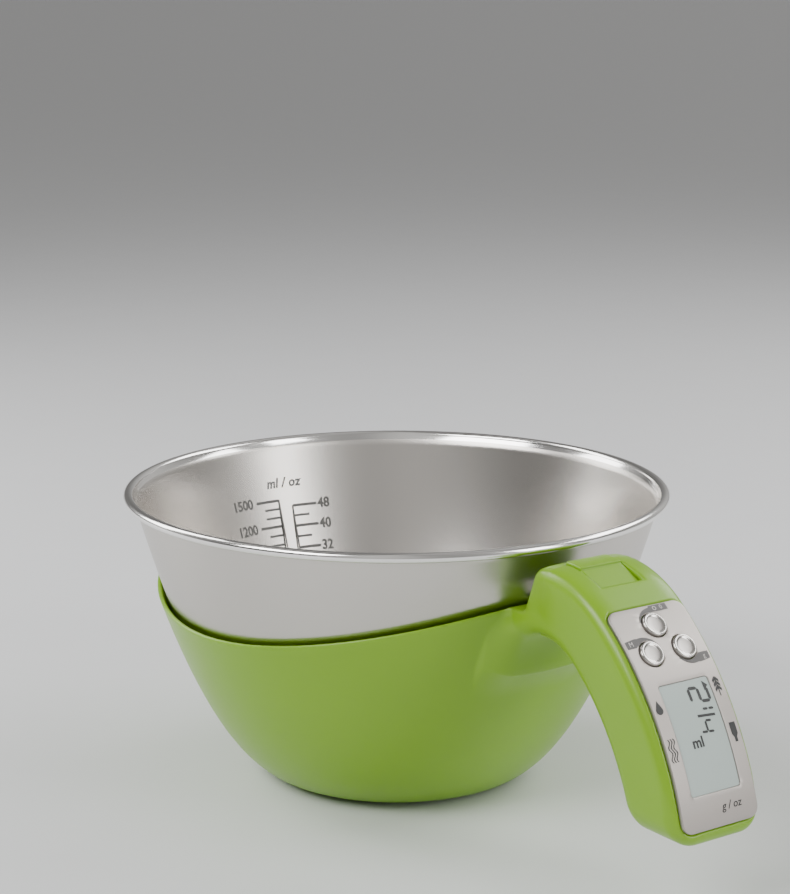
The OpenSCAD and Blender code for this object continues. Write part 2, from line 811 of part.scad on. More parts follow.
module battery_springs() {
    color("silver") at_arc(battery_a) for (s = [-1, 1])
        translate([aaa_l / 2 + 0.1, s * battery_y, battery_h]) rotate([0, 90, 0]) coil(2.6, 0.25, 2.4, 3);
}

// The curved door under the batteries. It turns on the two pins at its lower end.
module battery_door() {
    color([0.45, 0.62, 0.20]) {
        intersection() {
            door_opening(0.25);
            face_layer(under_r, under_r + door_t);
        }
        hinge_pins(pin_r, pin_l);
    }
}
// A pin at each side of the door's lower end, l long beyond the door.
module hinge_pins(r, l) {
    at_arc(hinge_a) for (s = [-1, 1]) translate([0, s * (door_w + l - 2) / 2, hinge_r])
        rotate([90, 0, 0]) cylinder(r = r, h = l + 2, center = true, $fn = 48);
}

bowl();
outer_shell();
deck_ring();
deck_screws();
base_cover();
foot_ring();
base_screws();
load_cell();
load_cell_spacers();
load_cell_screws();
weighing_platform();
platform_pad();
sensor_cable();
handle_housing();
handle_rear_cover();
handle_screws();
control_panel();
lcd_window();
lcd_module();
main_board();
button_board();
board_screws();
board_link();
tact_switches();
button_power();
button_mode();
button_unit();
release_button();
release_spring();
latch_carrier();
latch_slide();
carrier_screws();
battery_tray();
battery_cells();
battery_contacts();
battery_springs();
battery_door();
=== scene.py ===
"""Looks of the kitchen scale: a steel bowl in a lime-green holder with a display handle.

Everything is made in the CAD frame. Shapes are worked out in millimetres and handed over in metres.
"""

import json
import math

import bmesh
import bpy
import numpy as np
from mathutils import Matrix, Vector


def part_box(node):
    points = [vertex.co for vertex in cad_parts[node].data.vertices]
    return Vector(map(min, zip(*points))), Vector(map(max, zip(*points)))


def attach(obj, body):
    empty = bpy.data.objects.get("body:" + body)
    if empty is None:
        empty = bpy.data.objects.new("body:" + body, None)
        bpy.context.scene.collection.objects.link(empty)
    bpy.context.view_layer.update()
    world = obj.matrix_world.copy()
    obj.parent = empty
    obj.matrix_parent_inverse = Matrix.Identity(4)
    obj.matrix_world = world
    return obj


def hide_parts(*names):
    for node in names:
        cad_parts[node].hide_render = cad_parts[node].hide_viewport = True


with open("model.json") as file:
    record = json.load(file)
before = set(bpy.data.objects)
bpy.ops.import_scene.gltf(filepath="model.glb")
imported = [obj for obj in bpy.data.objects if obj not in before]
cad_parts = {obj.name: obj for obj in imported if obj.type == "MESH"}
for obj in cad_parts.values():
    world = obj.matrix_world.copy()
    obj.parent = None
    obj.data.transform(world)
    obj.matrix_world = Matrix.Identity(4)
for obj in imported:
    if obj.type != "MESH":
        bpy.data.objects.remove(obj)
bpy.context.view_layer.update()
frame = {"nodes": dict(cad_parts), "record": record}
MM = 0.001
INK_HALF_T = 0.03

# ---------------------------------------------------------------- sizes in mm, as the CAD model has them
bowl_lo, bowl_hi = (np.array(c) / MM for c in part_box("bowl"))
BOWL_R = (bowl_hi[0] - bowl_lo[0]) / 2
TOP_Z = bowl_hi[2]
BOWL_FLOOR_Z = bowl_lo[2]
RIM_R = 2.0
STEEL = 0.8
FLARE_START = 43.6
BOWL_INSET = 3.2
FLARE = (BOWL_R - 2 * RIM_R + BOWL_INSET - FLARE_START) / math.sqrt(TOP_Z - 1.5 * RIM_R)
SHELL_WALL = 1.8
EDGE_LOW_Z = 71.5
EDGE_RISE = 19.0
EDGE_TURN = 2.6
EDGE_TOP_Z = 92.4
COLUMN_X = (60.0, 118.0)
BASE_Z = 1.0
FLOOR_TOP_Z = 5.4
BASE_HOLE_R = 47.3

FACE_C = np.array([72.0, 5.0])
FACE_R = 122.0
UNDER_R = 95.0
SHOULDER_R = 47.0
SHOULDER_A = math.radians(51.67)
ARCH_R = 24.0
ARCH_A = math.radians(52.1)
HANDLE_HW = 20.2
HANDLE_WALL = 2.4
HANDLE_BOTTOM_Z = 28.8
CROWN = 2.2
PANEL_A = 32.8
PANEL_L = 79.0
PANEL_W = 34.0
PANEL_IN = FACE_R - 1.2
PANEL_OUT = FACE_R + 0.4
LCD_A = 28.5
LCD_L = 38.5
LCD_W = 22.0
POWER_A = 47.9
PAIR_A = 43.1
PAIR_Y = 7.4
BUTTON_R = 4.6
BUTTON_PROUD = 1.0
BUTTON_EDGE_R = 0.55
STEM_R = 1.6
RELEASE_X = (117.0, 137.0)
RELEASE_HW = 9.3
RIDGE_X = 125.5
LEDGE_Z = 91.0
LATCH_Z = (91.6, 94.0)
LATCH_HW = 9.3

# The roundings, gaps and inner walls of the holder and the handle.
EDGE_ROUND = 2.6
UNDER_ROUND = 6.0
END_ROUND = 10.0
LOW_EDGE_Z = 47.0
LOW_EDGE_FADE = 16.0
ROOT_Z = 69.0
BACK_FOOT = (107.3, 96.0)
BACK_LEAN = 0.39
FILLET_R = (2.5, 16.0)
FILLET_TOP_Z = 89.0
FILLET_FADE = 22.0
HOLE_DEPTH_Z = 3.4
ROOM_GAP = 0.5
OPENING_HW = 17.2
OPENING_X = 113.3
OPENING_END_A = 19.8
OPENING_SLOPE = 1.6
PANEL_GAP = 0.25
PANEL_CORNER_R = 4.2
WELL_GAP = 0.3
WELL_FLOOR_Z = 96.0
SLOT_X = (95.0, 113.0)
RIDGE_Z = 110.3
RECESS_A = math.radians(24)
RELEASE_PROUD = 0.9
RELEASE_CUT_Z = 99.0
FLANGE_Z = (99.0, 100.6)
FLANGE_MARGIN = 1.0


def direction(a):
    return np.array([math.cos(a), math.sin(a)])


SHOULDER_C = FACE_C + (FACE_R - SHOULDER_R) * direction(SHOULDER_A)
ARCH_C = FACE_C + (UNDER_R - ARCH_R) * direction(ARCH_A)


def env_r(z):
    """Outside radius of the holder's flare at height z."""
    return FLARE_START + FLARE * np.sqrt(np.maximum(z, 0.3))


def env_slope(z):
    """How fast that radius grows with height."""
    return FLARE / (2 * np.sqrt(np.maximum(z, 0.3)))


# ---------------------------------------------------------------- signed distances of the moulded shapes
def round_max(a, b, r):
    """Intersection of two solids with its edge rounded to radius r."""
    return np.minimum(np.maximum(a, b), -r) + np.hypot(np.maximum(a + r, 0), np.maximum(b + r, 0))


def round_min(a, b, r):
    """Union of two solids with a fillet of radius r."""
    return np.maximum(np.minimum(a, b), r) - np.hypot(np.maximum(r - a, 0), np.maximum(r - b, 0))


def outside_span(value, span):
    """Distance outside a span from low to high."""
    return np.abs(value - sum(span) / 2) - (span[1] - span[0]) / 2


def flare_distance(x, y, z):
    """Distance outside the holder's flared surface."""
    return (np.hypot(x, y) - env_r(z)) / np.sqrt(1 + env_slope(z) ** 2)


def face_distance(x, y, z):
    """Distance above the handle's crowned face: the shoulder's arc above, the panel's arc below."""
    dx, dz = x - FACE_C[0], z - FACE_C[1]
    on_shoulder = dz * math.cos(SHOULDER_A) > dx * math.sin(SHOULDER_A)
    shoulder = np.hypot(x - SHOULDER_C[0], z - SHOULDER_C[1]) - SHOULDER_R
    panel = np.hypot(dx, dz) - FACE_R
    return np.where(on_shoulder, shoulder, panel) + CROWN * (np.abs(y) / HANDLE_HW) ** 8


def under_distance(x, z):
    """Distance below the handle's underside: the finger arch next to the holder, then the long arc."""
    dx, dz = x - FACE_C[0], z - FACE_C[1]
    in_arch = dz * math.cos(ARCH_A) > dx * math.sin(ARCH_A)
    arch = ARCH_R - np.hypot(x - ARCH_C[0], z - ARCH_C[1])
    root = np.where(x < ARCH_C[0], np.maximum(arch, ROOT_Z - z), arch)
    return np.where(in_arch | (x < ARCH_C[0]), root, UNDER_R - np.hypot(dx, dz))


def back_distance(x, z):
    """Distance on the bowl's side of the handle's leaning back, above the ledge."""
    back = (BACK_FOOT[0] + BACK_LEAN * (z - BACK_FOOT[1]) - x) / math.hypot(1, BACK_LEAN)
    return np.minimum(back, z - LEDGE_Z)


def handle_distance(x, y, z):
    side = np.abs(y) - HANDLE_HW
    end = round_max(HANDLE_BOTTOM_Z - z, side, END_ROUND)
    edge = EDGE_ROUND + EDGE_ROUND * np.clip((LOW_EDGE_Z - z) / LOW_EDGE_FADE, 0, 1)
    body = round_max(face_distance(x, y, z), end, edge)
    return round_max(body, under_distance(x, z), UNDER_ROUND)


def holder_distance(x, y, z):
    """The holder and the handle's housing as one moulding."""
    flare = flare_distance(x, y, z)
    handle = handle_distance(x, y, z)
    edge_r = env_r(EDGE_LOW_Z + EDGE_RISE)
    saddle_z = EDGE_LOW_Z + EDGE_RISE * (x / edge_r) ** 2 + EDGE_TURN * np.clip(x / edge_r, 0, 1) ** 10
    saddle_z = np.minimum(saddle_z, EDGE_TOP_Z)
    saddle = (z - saddle_z) / np.sqrt(1 + (2 * EDGE_RISE * x / edge_r ** 2) ** 2)
    fillet_growth = np.clip((FILLET_TOP_Z - z) / FILLET_FADE, 0, 1) ** 0.8
    fillet = FILLET_R[0] + (FILLET_R[1] - FILLET_R[0]) * fillet_growth
    outside = round_min(flare, handle, fillet)
    column = round_max(np.abs(y) - HANDLE_HW - 0.1, back_distance(x, z), 3.5)
    column = round_max(column, face_distance(x, y, z), EDGE_ROUND)
    column = np.minimum(column, COLUMN_X[1] - x)
    column = np.maximum(column, COLUMN_X[0] - x)
    outside = round_max(outside, round_min(saddle, column, 1.5), 0.8)
    outside = round_max(outside, BASE_Z - z, 2.5)
    slope = env_slope(z)
    inner_r = env_r(z) - SHELL_WALL * np.sqrt(1 + slope ** 2)
    bowl_room = np.maximum((np.hypot(x, y) - inner_r) / np.sqrt(1 + slope ** 2), FLOOR_TOP_Z - z)
    rim_room = np.maximum(np.hypot(x, y) - BOWL_R - 1, TOP_Z - 3 * RIM_R - z)
    bowl_room = np.minimum(bowl_room, rim_room)
    cover_room = np.maximum(np.hypot(x, y) - BASE_HOLE_R, z - HOLE_DEPTH_Z)
    room = np.maximum(handle + HANDLE_WALL, ROOM_GAP - flare)
    room = np.maximum(room, back_distance(x, z) + HANDLE_WALL)
    long_arc = np.hypot(x - FACE_C[0], z - FACE_C[1])
    angle = np.degrees(np.arctan2(z - FACE_C[1], x - FACE_C[0]))
    opening = np.maximum(np.abs(y) - OPENING_HW, np.abs(under_distance(x, z)) - HANDLE_WALL - 0.2)
    opening_end = (OPENING_END_A - angle) * OPENING_SLOPE
    opening = np.maximum(opening, np.maximum(OPENING_X - x, opening_end))
    a = math.radians(PANEL_A)
    along = np.abs((x - FACE_C[0]) * math.sin(a) - (z - FACE_C[1]) * math.cos(a))
    recess = round_max(along - PANEL_L / 2 - PANEL_GAP, np.abs(y) - PANEL_W / 2 - PANEL_GAP, PANEL_CORNER_R)
    recess = np.maximum(recess, PANEL_IN - long_arc)
    well = np.maximum(outside_span(x, RELEASE_X) - WELL_GAP, np.abs(y) - RELEASE_HW - WELL_GAP)
    well = np.maximum(well, WELL_FLOOR_Z - z)
    slot = np.maximum(np.abs(y) - LATCH_HW, outside_span(z, LATCH_Z))
    slot = np.maximum(slot, outside_span(x, SLOT_X))
    solid = round_max(outside, -bowl_room, 0.8)
    solid = round_max(solid, -recess, 0.4)
    solid = round_max(solid, -well, 0.5)
    for hollow in (cover_room, room, opening, slot):
        solid = np.maximum(solid, -hollow)
    return solid


# ---------------------------------------------------------------- meshes
def new_object(name, verts, faces, materials=(), smooth=True):
    mesh = bpy.data.meshes.new(name)
    mesh.from_pydata([tuple(v) for v in verts], [], [tuple(f) for f in faces])
    mesh.update()
    mesh.polygons.foreach_set("use_smooth", [smooth] * len(mesh.polygons))
    for m in materials:
        mesh.materials.append(m)
    obj = bpy.data.objects.new(name, mesh)
    bpy.context.scene.collection.objects.link(obj)
    return obj


def sample(distance, pts):
    return distance(pts[:, 0], pts[:, 1], pts[:, 2])


def gradient(distance, pts, step=0.04):
    g = np.empty_like(pts)
    for k in range(3):
        d = np.zeros(3)
        d[k] = step
        g[:, k] = (sample(distance, pts + d) - sample(distance, pts - d)) / (2 * step)
    return g


def mesh_of(distance, lo, hi, h, block=8):
    """Vertices in mm and quads on a distance function's zero surface.

    Surface nets on a grid of pitch h, worked out only in the blocks that the surface passes through.
    """
    lo = np.array(lo, float)
    count = (np.ceil((np.array(hi) - lo) / (h * block)).astype(int)) * block + 1
    blocks = (count - 1) // block
    axes = [lo[k] + (np.arange(blocks[k]) + 0.5) * h * block for k in range(3)]
    centres = np.stack(np.meshgrid(*axes, indexing="ij"), -1).reshape(-1, 3)
    near = sample(distance, centres)
    field = np.empty(count, np.float32)
    grid = near.reshape(blocks)
    for k in range(3):
        grid = np.repeat(grid, block, axis=k)
    field[:] = 9.0
    field[:-1, :-1, :-1] = np.where(grid < 0, -9.0, 9.0)
    active = np.nonzero(np.abs(near) < h * block * 1.15)[0]
    local = np.stack(np.meshgrid(*[np.arange(block + 1)] * 3, indexing="ij"), -1).reshape(-1, 3)
    corner = np.stack(np.unravel_index(active, blocks), -1) * block
    for part in np.array_split(corner, max(1, len(corner) // 800)):
        index = (part[:, None, :] + local[None]).reshape(-1, 3)
        field[index[:, 0], index[:, 1], index[:, 2]] = sample(distance, lo + index * h)
    inside = field < 0
    cells = np.zeros(count - 1, np.uint8)
    offsets = [(i, j, k) for i in (0, 1) for j in (0, 1) for k in (0, 1)]
    for i, j, k in offsets:
        cells += inside[i:count[0] - 1 + i, j:count[1] - 1 + j, k:count[2] - 1 + k]
    cell = np.stack(np.nonzero((cells > 0) & (cells < 8)), -1)
    number = np.full(count - 1, -1, np.int32)
    number[tuple(cell.T)] = np.arange(len(cell))
    total, hits = np.zeros((len(cell), 3)), np.zeros(len(cell))
    for start in offsets:
        for k in range(3):
            if start[k]:
                continue
            stop = list(start)
            stop[k] = 1
            a = field[tuple((cell + start).T)]
            b = field[tuple((cell + stop).T)]
            cut = (a < 0) != (b < 0)
            t = np.where(cut, a / np.where(cut, a - b, 1), 0)
            point = np.array(start, float) + t[:, None] * (np.array(stop) - start)
            total += point * cut[:, None]
            hits += cut
    verts = lo + (cell + total / hits[:, None]) * h
    quads = []
    for k in range(3):
        u, v = (k + 1) % 3, (k + 2) % 3
        a = np.take(inside, np.arange(count[k] - 1), axis=k)
        b = np.take(inside, np.arange(1, count[k]), axis=k)
        edge = np.stack(np.nonzero(a != b), -1)
        edge = edge[(edge[:, u] > 0) & (edge[:, v] > 0)]
        du, dv = np.eye(3, dtype=int)[u], np.eye(3, dtype=int)[v]
        ring = [number[tuple((edge - d).T)] for d in (du + dv, dv, 0 * du, du)]
        ring = np.stack(ring, -1)
        leaving = inside[tuple(edge.T)]
        quads.append(np.where(leaving[:, None], ring, ring[:, ::-1]))
    quads = np.concatenate(quads)
    quads = quads[(quads >= 0).all(1)]
    for _ in range(3):
        g = gradient(distance, verts)
        d = sample(distance, verts)
        verts = verts - g * np.clip(d / np.maximum((g * g).sum(1), 0.3), -h, h)[:, None]
    return verts, quads


def lathe(name, profile, segments, materials):
    """A closed body of revolution about Z: profile is a list of (radius, height, material slot) in mm."""
    verts, faces, slots = [], [], []
    rings = []
    for r, z, _ in profile:
        if r < 1e-6:
            rings.append([len(verts)])
            verts.append((0, 0, z * MM))
            continue
        rings.append(range(len(verts), len(verts) + segments))
        for i in range(segments):
            a = 2 * math.pi * i / segments
            verts.append((r * MM * math.cos(a), r * MM * math.sin(a), z * MM))
    for (low, high, point) in zip(rings, rings[1:], profile):
        for i in range(segments):
            k = (i + 1) % segments
            ring = [low[i % len(low)], low[k % len(low)], high[k % len(high)], high[i % len(high)]]
            ring = list(dict.fromkeys(ring))
            faces.append(ring)
            slots.append(point[2])
    obj = new_object(name, verts, faces, materials)
    obj.data.polygons.foreach_set("material_index", slots)
    return obj


def outline_curve(name, outlines, half_t, bevel=0.0, bevel_steps=2):
    """A flat filled curve, in mm, from closed outlines; inner outlines are holes."""
    curve = bpy.data.curves.new(name, "CURVE")
    curve.dimensions = "2D"
    curve.fill_mode = "BOTH"
    curve.extrude = half_t - bevel
    curve.bevel_depth = bevel
    curve.bevel_resolution = bevel_steps
    curve.offset = -bevel
    for points in outlines:
        spline = curve.splines.new("POLY")
        spline.points.add(len(points) - 1)
        for p, (u, v) in zip(spline.points, points):
            p.co = (u, v, 0, 1)
        spline.use_cyclic_u = True
    return curve


def text_curve(name, words, size, half_t, slant=0.0, weight=0.0, spacing=1.0):
    curve = bpy.data.curves.new(name, "FONT")
    curve.body = words
    curve.size = size
    curve.extrude = half_t
    curve.shear = slant
    curve.offset = weight
    curve.space_character = spacing
    curve.align_x = "CENTER"
    curve.align_y = "CENTER"
    curve.resolution_u = 3
    return curve


def flat_mesh(parts):
    """One bmesh from flat curves: parts is a list of (curve, x, y, turn in degrees)."""
    bm = bmesh.new()
    for curve, x, y, turn in parts:
        holder = bpy.data.objects.new("flat", curve)
        bpy.context.scene.collection.objects.link(holder)
        holder.location = (x, y, 0)
        holder.rotation_euler = (0, 0, math.radians(turn))
        bpy.context.view_layer.update()
        mesh = bpy.data.meshes.new_from_object(holder.evaluated_get(bpy.context.evaluated_depsgraph_get()))
        mesh.transform(holder.matrix_world)
        bm.from_mesh(mesh)
        bpy.data.objects.remove(holder)
        bpy.data.meshes.remove(mesh)
        bpy.data.curves.remove(curve)
    bmesh.ops.remove_doubles(bm, verts=bm.verts, dist=1e-4)
    return bm


def laid(name, parts, place, material, body, step=2.0, smooth=False):
    """A flat mesh cut into strips and laid on a curved surface by place(x, y, z), all in mm."""
    bm = flat_mesh(parts)
    xs = [v.co.x for v in bm.verts]
    cut = math.floor(min(xs) / step) * step
    while cut < max(xs):
        geometry = bm.verts[:] + bm.edges[:] + bm.faces[:]
        bmesh.ops.bisect_plane(bm, geom=geometry, dist=1e-5, plane_co=(cut, 0, 0), plane_no=(1, 0, 0))
        cut += step
    for v in bm.verts:
        v.co = Vector(place(*v.co)) * MM
    mesh = bpy.data.meshes.new(name)
    bmesh.ops.recalc_face_normals(bm, faces=bm.faces)
    bm.to_mesh(mesh)
    bm.free()
    mesh.materials.append(material)
    mesh.polygons.foreach_set("use_smooth", [smooth] * len(mesh.polygons))
    if smooth:
        mesh.set_sharp_from_angle(angle=math.radians(35))
    obj = bpy.data.objects.new(name, mesh)
    bpy.context.scene.collection.objects.link(obj)
    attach(obj, body)
    return obj


def rounded_rectangle(length, width, r, x=0.0, y=0.0, steps=8):
    points = []
    for quarter, (sx, sy) in enumerate(((1, 1), (-1, 1), (-1, -1), (1, -1))):
        for i in range(steps + 1):
            a = math.pi / 2 * (quarter + i / steps)
            points.append((x + sx * (length / 2 - r) + r * math.cos(a),
                           y + sy * (width / 2 - r) + r * math.sin(a)))
    return points


def ring_points(r, x=0.0, y=0.0, steps=48, start=0.0, stop=360.0):
    turn = (stop - start) / steps
    count = steps if stop - start >= 360 else steps + 1
    angles = [math.radians(start + turn * i) for i in range(count)]
    return [(x + r * math.cos(a), y + r * math.sin(a)) for a in angles]


# ---------------------------------------------------------------- materials
def shader(name, colour, metallic=0.0, roughness=0.4, coat=0.0, ior=1.5):
    material = bpy.data.materials.new(name)
    material.use_nodes = True
    nodes, links = material.node_tree.nodes, material.node_tree.links
    bsdf = nodes["Principled BSDF"]
    bsdf.inputs["Base Color"].default_value = (*colour, 1)
    bsdf.inputs["Metallic"].default_value = metallic
    bsdf.inputs["Roughness"].default_value = roughness
    bsdf.inputs["Coat Weight"].default_value = coat
    bsdf.inputs["Coat Roughness"].default_value = 0.12
    bsdf.inputs["IOR"].default_value = ior
    return material, nodes, links, bsdf


def textured(name, colour, other, metallic=0.0, roughness=(0.35, 0.45), scale=400.0, bump=0.02, coat=0.0,
             detail=3.0, blotch=25.0, grain=(1.0, 1.0, 1.0)):
    """A moulded or milled surface: broad colour drift, finer roughness drift and a fine bump."""
    material, nodes, links, bsdf = shader(name, colour, metallic, sum(roughness) / 2, coat)
    coords = nodes.new("ShaderNodeTexCoord")
    stretch = nodes.new("ShaderNodeMapping")
    stretch.inputs["Scale"].default_value = grain
    links.new(coords.outputs["Object"], stretch.inputs["Vector"])
    broad = nodes.new("ShaderNodeTexNoise")
    broad.inputs["Scale"].default_value = blotch
    broad.inputs["Detail"].default_value = 2
    links.new(coords.outputs["Object"], broad.inputs["Vector"])
    mix = nodes.new("ShaderNodeMix")
    mix.data_type = "RGBA"
    mix.inputs["A"].default_value = (*colour, 1)
    mix.inputs["B"].default_value = (*other, 1)
    links.new(broad.outputs["Fac"], mix.inputs["Factor"])
    links.new(mix.outputs["Result"], bsdf.inputs["Base Color"])
    fine = nodes.new("ShaderNodeTexNoise")
    fine.inputs["Scale"].default_value = scale
    fine.inputs["Detail"].default_value = detail
    links.new(stretch.outputs["Vector"], fine.inputs["Vector"])
    spread = nodes.new("ShaderNodeMapRange")
    spread.inputs["To Min"].default_value = roughness[0]
    spread.inputs["To Max"].default_value = roughness[1]
    links.new(fine.outputs["Fac"], spread.inputs["Value"])
    links.new(spread.outputs["Result"], bsdf.inputs["Roughness"])
    relief = nodes.new("ShaderNodeBump")
    relief.inputs["Strength"].default_value = bump
    relief.inputs["Distance"].default_value = 0.0002
    links.new(fine.outputs["Fac"], relief.inputs["Height"])
    links.new(relief.outputs["Normal"], bsdf.inputs["Normal"])
    return material


def spun_steel(name, colour, roughness, bump, anisotropy):
    """Steel brushed round the bowl's axis, so its grain varies up the wall and hardly at all round it."""
    material, nodes, links, bsdf = shader(name, colour, 1.0, sum(roughness) / 2)
    coords = nodes.new("ShaderNodeTexCoord")
    split = nodes.new("ShaderNodeSeparateXYZ")
    links.new(coords.outputs["Object"], split.inputs["Vector"])
    flat = nodes.new("ShaderNodeCombineXYZ")
    links.new(split.outputs["X"], flat.inputs["X"])
    links.new(split.outputs["Y"], flat.inputs["Y"])
    radius = nodes.new("ShaderNodeVectorMath")
    radius.operation = "LENGTH"
    links.new(flat.outputs["Vector"], radius.inputs[0])
    unit = nodes.new("ShaderNodeVectorMath")
    unit.operation = "NORMALIZE"
    links.new(flat.outputs["Vector"], unit.inputs[0])
    climb = nodes.new("ShaderNodeMath")
    climb.operation = "ADD"
    links.new(radius.outputs["Value"], climb.inputs[0])
    links.new(split.outputs["Z"], climb.inputs[1])
    lift = nodes.new("ShaderNodeCombineXYZ")
    links.new(climb.outputs["Value"], lift.inputs["Z"])
    grains = []
    for fineness, drift in ((9000.0, 2.5), (4200.0, 1.2)):
        tall = nodes.new("ShaderNodeVectorMath")
        tall.operation = "SCALE"
        tall.inputs["Scale"].default_value = fineness
        links.new(lift.outputs["Vector"], tall.inputs[0])
        round_ = nodes.new("ShaderNodeVectorMath")
        round_.operation = "SCALE"
        round_.inputs["Scale"].default_value = drift
        links.new(unit.outputs["Vector"], round_.inputs[0])
        both = nodes.new("ShaderNodeVectorMath")
        both.operation = "ADD"
        links.new(tall.outputs["Vector"], both.inputs[0])
        links.new(round_.outputs["Vector"], both.inputs[1])
        noise = nodes.new("ShaderNodeTexNoise")
        noise.inputs["Scale"].default_value = 1.0
        noise.inputs["Detail"].default_value = 2.0
        links.new(both.outputs["Vector"], noise.inputs["Vector"])
        grains.append(noise)
    spread = nodes.new("ShaderNodeMapRange")
    spread.inputs["From Min"].default_value = 0.3
    spread.inputs["From Max"].default_value = 0.7
    spread.inputs["To Min"].default_value = roughness[0]
    spread.inputs["To Max"].default_value = roughness[1]
    links.new(grains[0].outputs["Fac"], spread.inputs["Value"])
    links.new(spread.outputs["Result"], bsdf.inputs["Roughness"])
    mix = nodes.new("ShaderNodeMix")
    mix.data_type = "RGBA"
    mix.inputs["A"].default_value = (*[c * 0.965 for c in colour], 1)
    mix.inputs["B"].default_value = (*[min(1, c * 1.03) for c in colour], 1)
    links.new(grains[1].outputs["Fac"], mix.inputs["Factor"])
    links.new(mix.outputs["Result"], bsdf.inputs["Base Color"])
    relief = nodes.new("ShaderNodeBump")
    relief.inputs["Strength"].default_value = bump
    relief.inputs["Distance"].default_value = 0.0001
    links.new(grains[0].outputs["Fac"], relief.inputs["Height"])
    links.new(relief.outputs["Normal"], bsdf.inputs["Normal"])
    tangent = nodes.new("ShaderNodeTangent")
    tangent.direction_type = "RADIAL"
    tangent.axis = "Z"
    links.new(tangent.outputs["Tangent"], bsdf.inputs["Tangent"])
    bsdf.inputs["Anisotropic"].default_value = anisotropy
    return material


LIME = (0.205, 0.405, 0.004)
green = textured("lime_plastic", LIME, (0.187, 0.380, 0.0035), roughness=(0.31, 0.37), scale=900,
                 bump=0.03, coat=0.08)
green_under = textured("lime_plastic_inner", (0.20, 0.37, 0.01), (0.185, 0.35, 0.01),
                       roughness=(0.38, 0.46), scale=900, bump=0.06)
steel = spun_steel("spun_steel", (0.60, 0.572, 0.535), (0.235, 0.265), 0.012, 0.8)
# The rim's lower roughness and bump are its real polish; its base colour, lighter than the wall's steel, is
# a painted highlight.
rim_steel_painted_highlight = spun_steel("polished_rim_painted_highlight", (0.90, 0.885, 0.865), (0.10, 0.16), 0.004, 0.4)
panel_paint = textured("panel_silver", (0.41, 0.378, 0.35), (0.44, 0.405, 0.375), metallic=0.8,
                       roughness=(0.32, 0.39), scale=1500, bump=0.03)
button_metal = textured("button_satin", (0.47, 0.445, 0.42), (0.50, 0.475, 0.45), metallic=0.9,
                        roughness=(0.33, 0.39), scale=1200, bump=0.02)
button_rim = textured("button_polished", (0.60, 0.58, 0.55), (0.57, 0.55, 0.52), metallic=1.0,
                      roughness=(0.20, 0.23), scale=600, bump=0.0)
lcd_face = textured("lcd_glass", (0.47, 0.545, 0.51), (0.44, 0.515, 0.485), roughness=(0.22, 0.26),
                    scale=300, bump=0.0, coat=0.6)
ink_black = textured("ink_black", (0.012, 0.013, 0.013), (0.02, 0.021, 0.02), roughness=(0.35, 0.5),
                     scale=2000, bump=0.02)
ink_grey = textured("ink_grey", (0.085, 0.08, 0.078), (0.105, 0.10, 0.095), roughness=(0.4, 0.5),
                    scale=2000, bump=0.02)
ink_pale = textured("ink_pale", (0.52, 0.50, 0.47), (0.56, 0.53, 0.50), roughness=(0.4, 0.5), scale=2000,
                    bump=0.02)
etched = textured("etched_mark", (0.10, 0.098, 0.095), (0.13, 0.128, 0.12), metallic=0.3,
                  roughness=(0.45, 0.6), scale=2500, bump=0.05)

SLOT_MATERIALS = {
    "steel": steel,
    "green": green,
    "green_inner": green_under,
    "dark_plastic": textured("dark_plastic", (0.045, 0.05, 0.05), (0.06, 0.064, 0.062),
                             roughness=(0.45, 0.6), scale=1400, bump=0.2),
    "rubber": textured("rubber", (0.035, 0.035, 0.036), (0.05, 0.05, 0.048), roughness=(0.7, 0.85),
                       scale=1800, bump=0.25),
    "screw_steel": textured("screw_steel", (0.62, 0.62, 0.60), (0.52, 0.53, 0.54), metallic=1.0,
                            roughness=(0.22, 0.35), scale=900, bump=0.03),
    "cell_aluminium": textured("cell_aluminium", (0.70, 0.71, 0.72), (0.64, 0.65, 0.67), metallic=1.0,
                               roughness=(0.28, 0.42), scale=1200, bump=0.08, grain=(0.1, 1, 1)),
    "cable_white": textured("cable_white", (0.72, 0.72, 0.69), (0.66, 0.66, 0.62), roughness=(0.5, 0.6),
                            scale=700, bump=0.05),
    "panel": panel_paint,
    "window": lcd_face,
    "lcd": textured("lcd_cell", (0.40, 0.45, 0.42), (0.36, 0.41, 0.39), roughness=(0.3, 0.4), scale=600,
                    bump=0.01),
    "board": textured("board", (0.02, 0.16, 0.06), (0.03, 0.20, 0.08), roughness=(0.35, 0.5), scale=1100,
                      bump=0.15),
    "button": button_metal,
    "spring_steel": textured("spring_steel", (0.58, 0.58, 0.58), (0.66, 0.66, 0.65), metallic=1.0,
                             roughness=(0.15, 0.28), scale=1500, bump=0.02),
    "natural_plastic": textured("natural_plastic", (0.70, 0.70, 0.66), (0.66, 0.66, 0.62),
                                roughness=(0.4, 0.5), scale=900, bump=0.05),
    "battery": textured("battery_jacket", (0.06, 0.07, 0.09), (0.08, 0.09, 0.11), metallic=0.5,
                        roughness=(0.25, 0.35), scale=500, bump=0.01),
}
for row in frame["record"]["subparts"]:
    node = frame["nodes"][row["node"]]
    node.data.materials.clear()
    node.data.materials.append(SLOT_MATERIALS[row["material_slot"]])


# ---------------------------------------------------------------- bowl
def bowl_out_r(z):
    """Outside radius of the bowl's wall at height z."""
    return float(env_r(z)) - BOWL_INSET


def bowl_in_r(z):
    """Inside radius: the sheet leans, so it is a little thicker measured level."""
    return bowl_out_r(z) - STEEL * 1.05


def curve_between(p, q, r, n):
    """Points of a quadratic curve from p to r with control point q."""
    out = []
    for i in range(1, n):
        u = i / n
        out.append(tuple((1 - u) ** 2 * np.array(p) + 2 * u * (1 - u) * np.array(q) + u * u * np.array(r)))
    return out


KNEE_TOP_Z = 28.3
KNEE_RUN = 12.4
FLAT_R = 30.0
WALL_STEPS = 34
RIM_TUBE = 1.9
RIM_CENTRE = (BOWL_R - RIM_TUBE, TOP_Z - RIM_TUBE)


